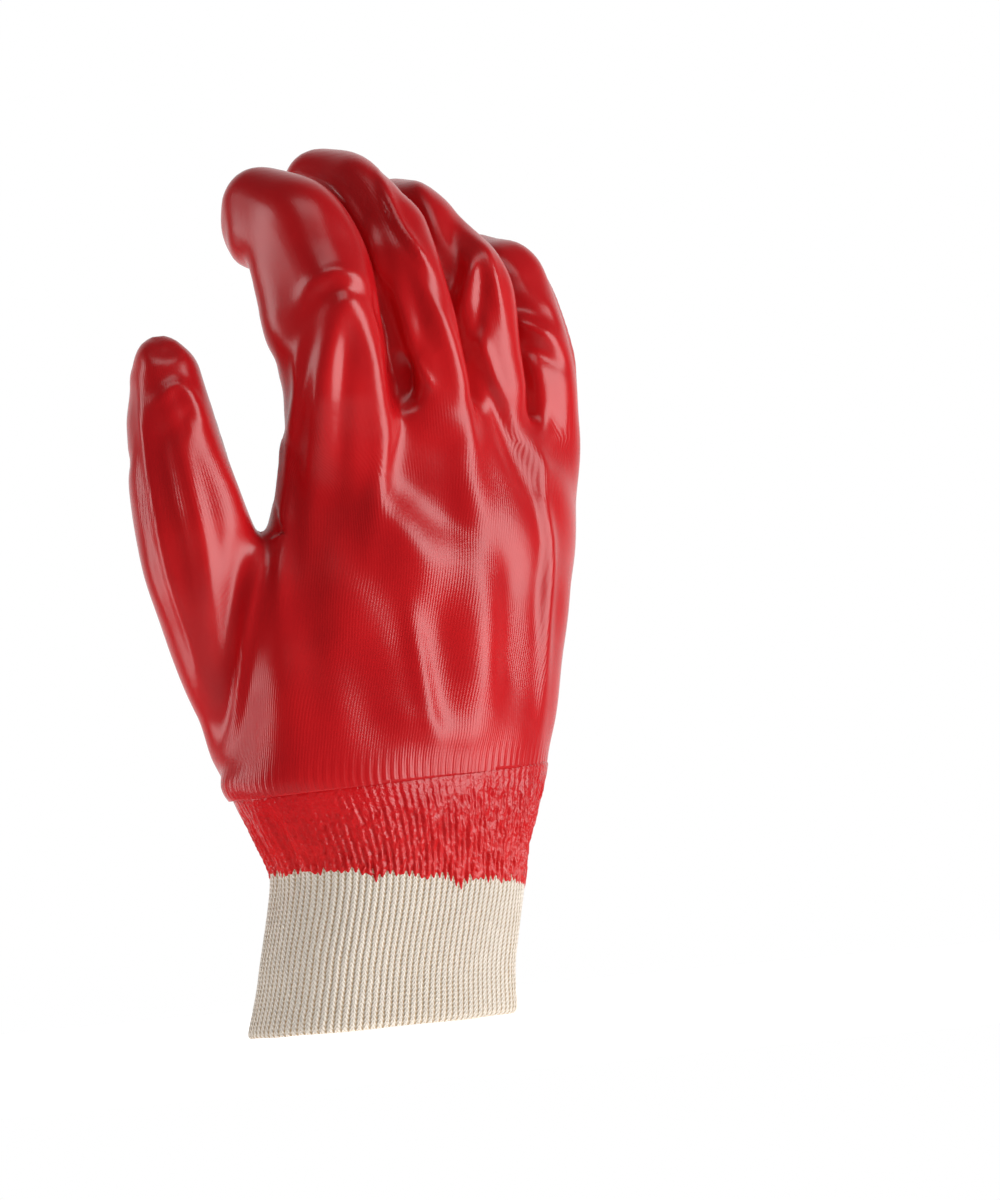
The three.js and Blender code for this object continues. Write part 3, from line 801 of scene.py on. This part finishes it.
def slow_wave(angle, highest, scale, seed):
    """A smooth random wave round the wrist: a few whole waves added up."""
    local = np.random.default_rng(seed)
    total = np.zeros_like(angle)
    for count in range(1, highest + 1):
        wave = local.normal() * np.cos(count * angle + local.uniform(0, 2 * np.pi))
        total = total + wave / np.sqrt(highest)
    return scale * total


def coat_edge(angle):
    """The height of the dip's ragged edge: a slanted line, slow runs, teeth and long drips.

    The line is lower on the little-finger side, as the former went in at a slant. Each
    rib's crest carries the coat further down than its gutters, by a share that varies."""
    edge = EDGE_HEIGHT - EDGE_ASIDE * np.cos(angle) + EDGE_FRONT * np.sin(angle)
    edge = edge + slow_wave(angle, 6, 0.45, 3)
    share = 0.7 + slow_wave(angle, 50, 0.35, 4)
    teeth = (0.5 + 0.5 * np.cos(2 * np.pi * RIBS * round_share(angle))) ** 0.8
    edge = edge - TOOTH_LENGTH * share * teeth + slow_wave(angle, 30, 0.3, 6)
    for turn, depth in drips:
        away = within_half(np.degrees(angle) - turn, 360)
        edge = edge - depth * np.exp(-(away / DRIP_SPREAD) ** 2)
    return edge


def below_skin(angle, height, start, end):
    """1 well below the skin's slanted edge and 0 above it: an S between two depths below it."""
    edge_here = SKIN_EDGE + EDGE_SLANT * trunk_points(height, angle)[..., 0]
    return smooth_step(edge_here - height, start, end)


print("the dip ends from", round(coat_edge(angle).min(), 1), "to", round(coat_edge(angle).max(), 1), "mm")

# %% Gathers, and a wall from two grids
# Degrees round, middle height, half height, half width in degrees, lift
gathers = [
    (182, 58, 12, 4.5, 1.3), (192, 54, 12, 3.5, -1.4), (201, 60, 10, 4.0, 0.9), (172, 50, 12, 4.0, -1.0),
    (221, 62, 10, 5.0, -0.6), (262, 60, 10, 5.0, 0.6), (288, 58, 10, 5.0, -0.7), (310, 58, 12, 5.0, 0.8),
    (20, 58, 12, 6.0, 0.9), (48, 56, 12, 6.0, -0.9), (86, 60, 10, 7.0, 0.8), (126, 56, 12, 6.0, -0.9),
]


def gathered(angle, height):
    """Soft upright folds where the wrist is drawn in: a bell round the wrist times one up it."""
    total = 0 * height * angle
    for turn, middle, reach, spread, rise in gathers:
        away = within_half(np.degrees(angle) - turn, 360)
        total = total + rise * np.exp(-(away / spread) ** 2 - ((height - middle) / reach) ** 2)
    return total


def tube_shell(name, outer, inner):
    """A closed wall from an outer and an inner grid of rings, joined at both rims."""
    rows, around = outer.shape[:2]
    inner_rows = inner.shape[0]
    points = np.concatenate([outer.reshape(-1, 3), inner.reshape(-1, 3)])
    start = rows * around
    outside = ring_faces(rows, around)
    inside = ring_faces(inner_rows, around, start)[:, ::-1]
    j = np.arange(around)
    k = (j + 1) % around
    low = np.stack([start + j, start + k, k, j], axis=-1)
    last, inner_last = (rows - 1) * around, start + (inner_rows - 1) * around
    high = np.stack([last + j, last + k, inner_last + k, inner_last + j], axis=-1)
    return new_piece(name, points, np.concatenate([outside, inside, low, high]))


print("gathers:", len(gathers))

# %% The bare rib-knit cuff
CUFF_TUCK = 50.0              # how high the cuff runs on under the coat
KNIT_WALL = 2.2
CUFF_RELIEF = 0.24            # mm from crest to gutter
COAT_TUCK = 0.7               # how far the knit is drawn in where the coat covers it
HEM_ROUND = 0.9
rows = 70
share = np.linspace(0, 1, rows)[:, None]
hem = 0.5 + slow_wave(angle, 12, 0.25, 11)
height = hem + (CUFF_TUCK - hem) * share
relief = CUFF_RELIEF * (crest - 1) + slow_wave(angle, 9, 0.35, 12) * smooth_step(-height, -38, -20)
under_coat = -COAT_TUCK * smooth_step(height - coat_edge(angle), 0.8, 2.4)
round_hem = HEM_ROUND * np.exp(-(height - hem) / 0.7)
outer = trunk_points(height, angle, grow=relief - round_hem + under_coat + gathered(angle, height))
inner_share = np.linspace(0, 1, 12)[:, None]
inner_height = hem + (CUFF_TUCK - hem) * inner_share
inner = trunk_points(inner_height, angle, grow=gathered(angle, inner_height) - KNIT_WALL)
cuff = tube_shell("rib_knit_cuff", outer, inner)
print("cuff has", len(cuff.data.polygons), "faces")

# %% The dipped ribs
BAND_TOP = 72.0               # under the edge of the smooth skin
BAND_RELIEF = 0.5             # mm from crest to gutter, the coat's own bead included
rows = 62
share = np.linspace(0, 1, rows)[:, None] ** 1.2
edge = coat_edge(angle)
height = edge + (BAND_TOP - edge) * share
above_edge = height - edge
near_skin = below_skin(angle, height, 0, 8)
coat = (0.5 * (1 - np.exp(-above_edge / 0.5)) - 0.25) * near_skin
fade = 0.2 + 0.8 * below_skin(angle, height, 0, 16)
rng = np.random.default_rng(7)


def rough_field(across_rounds, up_rounds):
    """Seeded noise on the grid, blurred some rounds each way, with a spread of 1."""
    field = rng.normal(size=(rows, around))
    for _ in range(across_rounds):
        field = (field + np.roll(field, 1, axis=1) + np.roll(field, -1, axis=1)) / 3
    for _ in range(up_rounds):
        field[1:-1] = (field[:-2] + field[1:-1] + field[2:]) / 3
    return field / field.std()


relief = BAND_RELIEF * (crest - 1) * fade * (1 + 0.35 * rough_field(16, 12))
speckle = (0.10 * rough_field(1, 1) + 0.08 * rough_field(10, 3)) * smooth_step(above_edge, 0, 2) * near_skin
tuck = below_skin(angle, height, -1.6, 0.3) - 1
folds = gathered(angle, height) * near_skin
outer = trunk_points(height, angle, grow=relief + coat + speckle + tuck + folds)
inner_share = np.linspace(0, 1, 8)[:, None]
inner_height = edge + (BAND_TOP - edge) * inner_share
inner_grow = -0.8 - 1.0 * np.clip((inner_height - edge) / 5, 0, 1)
inner_folds = gathered(angle, inner_height) * below_skin(angle, inner_height, 0, 8)
inner = trunk_points(inner_height, angle, grow=inner_grow + inner_folds)
band = tube_shell("dipped_ribs", outer, inner)
print("band has", len(band.data.polygons), "faces")

# %% [markdown]
# ## Stitch coordinates
#
# Both knits need a pattern that follows the cloth, so each piece gets a UV map that counts
# stitches: u counts columns of stitches round the tube and v counts millimetres along it.
# On the skin the map is worked out for each face on its own, with the coordinates of the
# digit that the face belongs to, so nothing smears across the seam or the webs.

# %% UV maps that count stitches
def loop_arrays(mesh):
    """For each corner of each face: its point, and the first corner of its face."""
    corner_point = np.empty(len(mesh.loops), dtype=np.int32)
    mesh.loops.foreach_get("vertex_index", corner_point)
    first = np.empty(len(mesh.polygons), dtype=np.int32)
    total = np.empty(len(mesh.polygons), dtype=np.int32)
    mesh.polygons.foreach_get("loop_start", first)
    mesh.polygons.foreach_get("loop_total", total)
    return corner_point, np.repeat(first, total)


def write_stitch_map(mesh, columns, turn, along):
    """Writes u = columns x turn share and v = along; turns are unwrapped inside each face."""
    _, first = loop_arrays(mesh)
    leader = turn[first]
    u = (leader + within_half(turn - leader)) / (2 * np.pi) * columns
    layer = mesh.uv_layers.new(name="stitches")
    layer.data.foreach_set("uv", np.stack([u, along], axis=-1).ravel().astype(np.float32))


def tube_map(piece, columns):
    """The stitch map of a wrist piece, from the trunk's own angle and height."""
    points, _ = read_points(piece.data)
    corner_point, _ = loop_arrays(piece.data)
    height, turn = around_trunk(points)
    even_turn = 2 * np.pi * round_share(turn)
    write_stitch_map(piece.data, columns, even_turn[corner_point], height[corner_point])


tube_map(cuff, RIBS)
tube_map(band, RIBS)
WALES = np.array([110, 100, 96, 96, 112, 3 * RIBS])  # columns of stitches round each digit and the hand
points, normals = read_points(skin.data)
region, along, turn = skin_regions(points)
turn[HAND] = 2 * np.pi * round_share(turn[HAND])
corner_point, first = loop_arrays(skin.data)
face_region = region[corner_point[first]]
write_stitch_map(skin.data, WALES[face_region],
                 turn[face_region, corner_point], along[face_region, corner_point])
print("columns of stitches round:", dict(zip(names, WALES.tolist())))

# %% Where the knit shows through
ON_THE_TIPS = 0.4             # how much of it is left where the coat is thickest


def knit_share(points, normals, region):
    """How much of the knit shows at each point: 1, fading to 0 where it would break up.

    It fades near a change of region, on faces of the hand that look up, and it is
    weaker on the outer half of each digit, where the coat is thickest."""
    reach, along, _ = around_digits(points)
    past_root = along / digit_lengths[:, None] - np.array(FREE_FROM)[:, None]
    near_root = np.where(reach < REACH_LIMIT + 0.3, np.abs(past_root) * 6, 1.0)
    near_side = np.where(past_root > 0, np.abs(reach - REACH_LIMIT) * 4, 1.0)
    clear = smooth_step(np.minimum(near_root, near_side).min(axis=0), 0, 1)
    looking_up = np.where(region == HAND, smooth_step(np.abs(normals[:, 2]), 0.3, 0.6), 0)
    outer_half = np.where(region < HAND, smooth_step(past_root.max(axis=0), 0.15, 0.35), 0)
    return clear * (1 - looking_up) * (1 - (1 - ON_THE_TIPS) * outer_half)


shown = knit_share(points, normals, region)
shows = skin.data.attributes.new("knit_shows", "FLOAT", "POINT")
shows.data.foreach_set("value", shown.astype(np.float32))
print("the knit shows through on", round(100 * shown.mean()), "% of the skin's points")

# %% [markdown]
# ## Materials
#
# The coat is plasticised PVC, dipped and fused: a saturated red under a smooth, slightly
# waxy gloss. The liner's wales show through it as fine lines. The cuff is cotton yarn,
# matt and hairy, cream with darker gutters where light is lost between the ribs.

# %% Colours and nodes
def linear(code):
    """An sRGB hex value as linear red, green, blue and 1."""
    channels = [((code >> shift) & 255) / 255 for shift in (16, 8, 0)]
    return [c / 12.92 if c <= 0.04045 else ((c + 0.055) / 1.055) ** 2.4 for c in channels] + [1.0]


def add_node(tree, kind, inputs=(), out=0, **settings):
    """Adds a node with its settings and inputs, and gives one of its outputs.

    The inputs go by place or by name, and each is a value or another node's output."""
    node = tree.nodes.new(kind)
    for name, value in settings.items():
        setattr(node, name, value)
    for socket, source in inputs.items() if isinstance(inputs, dict) else enumerate(inputs):
        if isinstance(source, bpy.types.NodeSocket):
            tree.links.new(source, node.inputs[socket])
        else:
            node.inputs[socket].default_value = source
    return node.outputs[out]


def new_material(name, **shader_values):
    """A material with one Principled shader whose even values are set on its sockets."""
    material = bpy.data.materials.new(name)
    material.use_nodes = True
    tree = material.node_tree
    shader = tree.nodes["Principled BSDF"]
    for socket, value in shader_values.items():
        shader.inputs[socket.replace("_", " ")].default_value = value
    return material, tree, shader


MATH, NOISE, RANGE = "ShaderNodeMath", "ShaderNodeTexNoise", "ShaderNodeMapRange"
print("a mid red in linear light:", np.round(linear(0xC81419), 3))

# %% The PVC coat
COURSE_RISE = 0.95            # mm from one row of stitches to the next
COURSE_SHARE = 0.15           # a row's height as a share of a wale's
WALE_HEIGHT = 0.021           # mm: how high the liner's wales stand under the coat
RIB_BUMP = 0.06               # mm: the last of the ribs, just above the band
PATCHES_PER_M, TONES_PER_M = 45.0, 30.0


def pvc_material(name, roughness, grain_size, grain_height):
    """Red PVC. Its relief in mm is a sum: wales and rows of stitches where the knit shows,
    stronger and weaker in patches, then the last of the ribs, and a grain."""
    material, tree, shader = new_material(name, Roughness=roughness, IOR=1.53)
    stitch = add_node(tree, "ShaderNodeUVMap", uv_map="stitches")
    column = add_node(tree, "ShaderNodeSeparateXYZ", (stitch,))
    row = column.node.outputs[1]
    place = add_node(tree, "ShaderNodeTexCoord", out="Object")
    height = add_node(tree, "ShaderNodeSeparateXYZ", (place,), out=2)
    shown = add_node(tree, "ShaderNodeAttribute", out="Fac", attribute_name="knit_shows")

    wale = add_node(tree, MATH, (column, 2 * np.pi), operation="MULTIPLY")
    wale = add_node(tree, MATH, (wale,), operation="SINE")
    course = add_node(tree, MATH, (row, 2 * np.pi / COURSE_RISE), operation="MULTIPLY")
    course = add_node(tree, MATH, (course,), operation="SINE")
    patches = add_node(tree, NOISE, {"Vector": place, "Scale": PATCHES_PER_M, "Detail": 2.0})
    strength = add_node(tree, RANGE, (patches, 0.4, 0.65, 0.15, 1.0))
    knit = add_node(tree, MATH, (course, COURSE_SHARE, wale), operation="MULTIPLY_ADD")
    knit = add_node(tree, MATH, (knit, strength), operation="MULTIPLY")
    knit = add_node(tree, MATH, (knit, shown), operation="MULTIPLY")

    rib = add_node(tree, MATH, (column, 2 * np.pi / 3), operation="MULTIPLY")
    rib = add_node(tree, MATH, (rib,), operation="COSINE")
    low = add_node(tree, RANGE, (height, 0.067, 0.080, 1.0, 0.0), interpolation_type="SMOOTHSTEP")
    rib = add_node(tree, MATH, (rib, low), operation="MULTIPLY")
    rib = add_node(tree, MATH, (rib, shown), operation="MULTIPLY")

    grain = add_node(tree, NOISE, {"Vector": place, "Scale": 1000.0 / grain_size, "Detail": 3.0})
    relief = add_node(tree, MATH, (knit, WALE_HEIGHT), operation="MULTIPLY")
    relief = add_node(tree, MATH, (rib, RIB_BUMP, relief), operation="MULTIPLY_ADD")
    relief = add_node(tree, MATH, (grain, grain_height, relief), operation="MULTIPLY_ADD")
    bump = add_node(tree, "ShaderNodeBump", {"Height": relief, "Distance": MM, "Strength": 1.0})
    tree.links.new(bump, shader.inputs["Normal"])

    # Slow changes of tone over the coat, and a lighter red where it is thin above its edge
    tone = add_node(tree, NOISE, {"Vector": place, "Scale": TONES_PER_M, "Detail": 4.0})
    ramp = add_node(tree, "ShaderNodeValToRGB", (tone,))
    for stop, position, code in zip(ramp.node.color_ramp.elements, (0.3, 0.7), (0xB60D15, 0xC81419)):
        stop.position, stop.color = position, linear(code)
    thin = add_node(tree, RANGE, (height, 0.041, 0.066, 0.45, 0.0))
    mixed = add_node(tree, "ShaderNodeMix", {0: thin, 6: ramp, 7: linear(0xDC2826)}, out=2, data_type="RGBA")
    tree.links.new(mixed, shader.inputs["Base Color"])
    return material


# Dipped and fused in an oven: level and waxy, with long highlights that are soft at the edges
smooth_pvc = pvc_material("plasticised_pvc_dip", 0.265, 1.1, 0.03)
# Drawn thin over the ribs: wetter to the eye, its lights broken up by the yarn below
grainy_pvc = pvc_material("plasticised_pvc_over_ribs", 0.15, 1.2, 0.40)
print("each PVC has", len(smooth_pvc.node_tree.nodes), "nodes")

# %% The cotton rib knit
STITCH_RISE = 1.25            # mm from one stitch to the next along a rib
STITCH_SLANT = 2.2            # stitches that a V's leg would climb over a whole rib
# Spun cotton yarn scatters light in its loose fibres: matt, with no highlight, and a soft rim
cotton, tree, shader = new_material("cotton_rib_knit", Roughness=0.95, IOR=1.5, Sheen_Weight=0.2)
stitch = add_node(tree, "ShaderNodeUVMap", uv_map="stitches")
column = add_node(tree, "ShaderNodeSeparateXYZ", (stitch,))
row = column.node.outputs[1]
place = add_node(tree, "ShaderNodeTexCoord", out="Object")

# The hand of the knitting: columns and rows wander a little
wobble = add_node(tree, NOISE, {"Vector": place, "Scale": 260.0, "Detail": 2.0})
aside = add_node(tree, MATH, (wobble, 0.3, -0.15), operation="MULTIPLY_ADD")
column = add_node(tree, MATH, (column, aside), operation="ADD")
along = add_node(tree, MATH, (wobble, 0.5, -0.25), operation="MULTIPLY_ADD")
row = add_node(tree, MATH, (row, along), operation="ADD")

# Each rib is a column of Vs, with painted light on its crest and painted shade in the gutter
aside = add_node(tree, MATH, (column, 0.5), operation="PINGPONG")
twice = add_node(tree, MATH, (aside, 2.0), operation="MULTIPLY")
across = add_node(tree, "ShaderNodeValToRGB", (twice,))
stops = across.node.color_ramp.elements
for position, light in ((0.0, 0.62), (0.28, 1.0), (0.55, 0.8), (0.85, 0.12)):
    stop = stops.new(position) if position else stops[0]
    stop.color = (light, light, light, 1.0)
stops[-1].color = (0.1, 0.1, 0.1, 1.0)
leg = add_node(tree, MATH, (row, STITCH_RISE), operation="DIVIDE")
leg = add_node(tree, MATH, (aside, STITCH_SLANT, leg), operation="MULTIPLY_ADD")
leg = add_node(tree, MATH, (leg, 2 * np.pi), operation="MULTIPLY")
leg = add_node(tree, MATH, (leg,), operation="SINE")
leg = add_node(tree, MATH, (leg, 0.5, 0.5), operation="MULTIPLY_ADD")
fibre = add_node(tree, NOISE, {"Vector": place, "Scale": 1800.0, "Detail": 4.0})
strand = add_node(tree, MATH, (leg, 0.5, 0.5), operation="MULTIPLY_ADD")
strand = add_node(tree, MATH, (across, strand), operation="MULTIPLY")

fluff = add_node(tree, MATH, (fibre, 0.25), operation="MULTIPLY")
relief = add_node(tree, MATH, (strand, 0.5, fluff), operation="MULTIPLY_ADD")
bump = add_node(tree, "ShaderNodeBump", {"Height": relief, "Distance": MM, "Strength": 1.0})
tree.links.new(bump, shader.inputs["Normal"])
# How light the yarn is: the painted light and shade of the ribs and the stitches' legs, plus the fibres' own
# tone
lit = add_node(tree, MATH, (strand, 0.9), operation="MULTIPLY")
lit = add_node(tree, MATH, (leg, 0.2, lit), operation="MULTIPLY_ADD")
lit = add_node(tree, MATH, (fibre, 0.3, lit), operation="MULTIPLY_ADD")
# The ramp runs from a tan, the painted shade of the gutters, to the yarn's own cream
ramp = add_node(tree, "ShaderNodeValToRGB", (lit,))
for stop, position, code in zip(ramp.node.color_ramp.elements, (0.2, 0.8), (0xA88A62, 0xF4EBDF)):
    stop.position, stop.color = position, linear(code)
tree.links.new(ramp, shader.inputs["Base Color"])
print("the cotton has", len(tree.nodes), "nodes")

# %% Give each piece its material
skin.data.materials.append(smooth_pvc)
band.data.materials.append(grainy_pvc)
cuff.data.materials.append(cotton)
print("materials:", ", ".join(piece.data.materials[0].name for piece in (skin, band, cuff)))

# %% [markdown]
# ## Light, floor and world
#
# The photograph is a studio picture on pure white. Three wide soft boxes give the long pale
# highlights, from the right, from the left and from above. A white surround is bright only
# behind the glove, so its gloss stays deep, and adds a little even light to the rest.

# %% The soft boxes
LIGHT_DISTANCE = 1.1          # metres from the glove


def soft_box(name, place, width, height, radiance):
    """A rectangular light aimed at the middle of the glove; its power is pi x area x radiance."""
    data = bpy.data.lights.new(name, "AREA")
    data.shape = "RECTANGLE"
    data.size, data.size_y = width, height
    data.energy = np.pi * width * height * radiance
    light = bpy.data.objects.new(name, data)
    bpy.context.scene.collection.objects.link(light)
    aim = view_aim * MM
    back = np.array(place) - aim
    back /= np.linalg.norm(back)
    right = np.cross([0, 0, 1.0], back)
    right /= np.linalg.norm(right)
    matrix = np.eye(4)
    matrix[:3, :3] = np.stack([right, np.cross(back, right), back], axis=1)
    matrix[:3, 3] = place
    light.matrix_world = Matrix(matrix)
    return light


def around_aim(turn_degrees, rise_degrees, distance):
    """A place at an angle to the right of the camera's line and above it."""
    turn, rise = np.radians(turn_degrees), np.radians(rise_degrees)
    level = view_back * [1, 1, 0] / np.linalg.norm(view_back[:2])
    way = np.cos(rise) * (np.cos(turn) * level + np.sin(turn) * view_right)
    return view_aim * MM + distance * (way + np.sin(rise) * np.array([0, 0, 1.0]))


# Name, degrees to the right of the camera and up, width and height in metres, radiance
soft_boxes = [
    ("right_soft_box", 76, 12, 0.7, 1.2, 4.2),
    ("left_soft_box", -94, 10, 0.4, 1.2, 3.0),
    ("top_soft_box", 10, 72, 0.8, 0.4, 1.8),
]
for name, turn_degrees, rise_degrees, *shape in soft_boxes:
    light = soft_box(name, around_aim(turn_degrees, rise_degrees, LIGHT_DISTANCE), *shape)
    print(name, "stands at", np.round(light.matrix_world.translation, 2), "m")

# %% The white surround
SOFT_FILL = 0.085             # what the white room adds to every side, seen in no reflection
world = bpy.data.worlds.new("white_surround")
world.use_nodes = True
bpy.context.scene.world = world
tree = world.node_tree
background = tree.nodes["Background"]
seen = add_node(tree, "ShaderNodeLightPath", out="Is Camera Ray")
diffuse = seen.node.outputs["Is Diffuse Ray"]
ray = add_node(tree, "ShaderNodeTexCoord", out="Generated")
behind = add_node(tree, "ShaderNodeVectorMath", (ray, tuple(-view_back)),
                  out="Value", operation="DOT_PRODUCT")
glow = add_node(tree, RANGE, (behind, 0.5, 0.95, 0.04, 0.9))
fill = add_node(tree, MATH, (diffuse, SOFT_FILL, glow), operation="MULTIPLY_ADD")
strength = add_node(tree, MATH, (seen, fill), operation="MAXIMUM")
background.inputs["Color"].default_value = (1, 1, 1, 1)
tree.links.new(strength, background.inputs["Strength"])
print("the surround adds", SOFT_FILL, "to every side")

# %% The floor
FLOOR_RADIUS, FLOOR_SIDES, FLOOR_DROP = 600.0, 96, 0.3
turns = np.linspace(0, 2 * np.pi, FLOOR_SIDES, endpoint=False)
disc = FLOOR_RADIUS * np.stack([np.cos(turns), np.sin(turns), 0 * turns], axis=-1)
disc = np.concatenate([disc, [[0, 0, 0]]]) - [0, 0, FLOOR_DROP]
j = np.arange(FLOOR_SIDES)
middle = np.full(FLOOR_SIDES, FLOOR_SIDES)
floor = new_piece("floor", disc, [], np.stack([middle, j, (j + 1) % FLOOR_SIDES], axis=-1))
paper, tree, shader = new_material("white_paper_floor", Roughness=0.9)
shader.inputs["Base Color"].default_value = linear(0xF4F4F4)
shader.inputs["Emission Color"].default_value = (1, 1, 1, 1)
shader.inputs["Emission Strength"].default_value = 0.95
floor.data.materials.append(paper)
floor.visible_glossy = False  # the surround below the glove is dark in its reflections
bpy.context.scene.view_settings.view_transform = "Standard"
print("the floor is", 2 * FLOOR_RADIUS * MM, "m across")

# %% Hand the pieces over
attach(skin, "root")
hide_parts("hand_shell", "thumb", "index_finger", "middle_finger", "ring_finger", "little_finger")
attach(band, "root")
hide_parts("dipped_rib_band")
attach(cuff, "root")
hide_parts("knit_wrist_cuff")
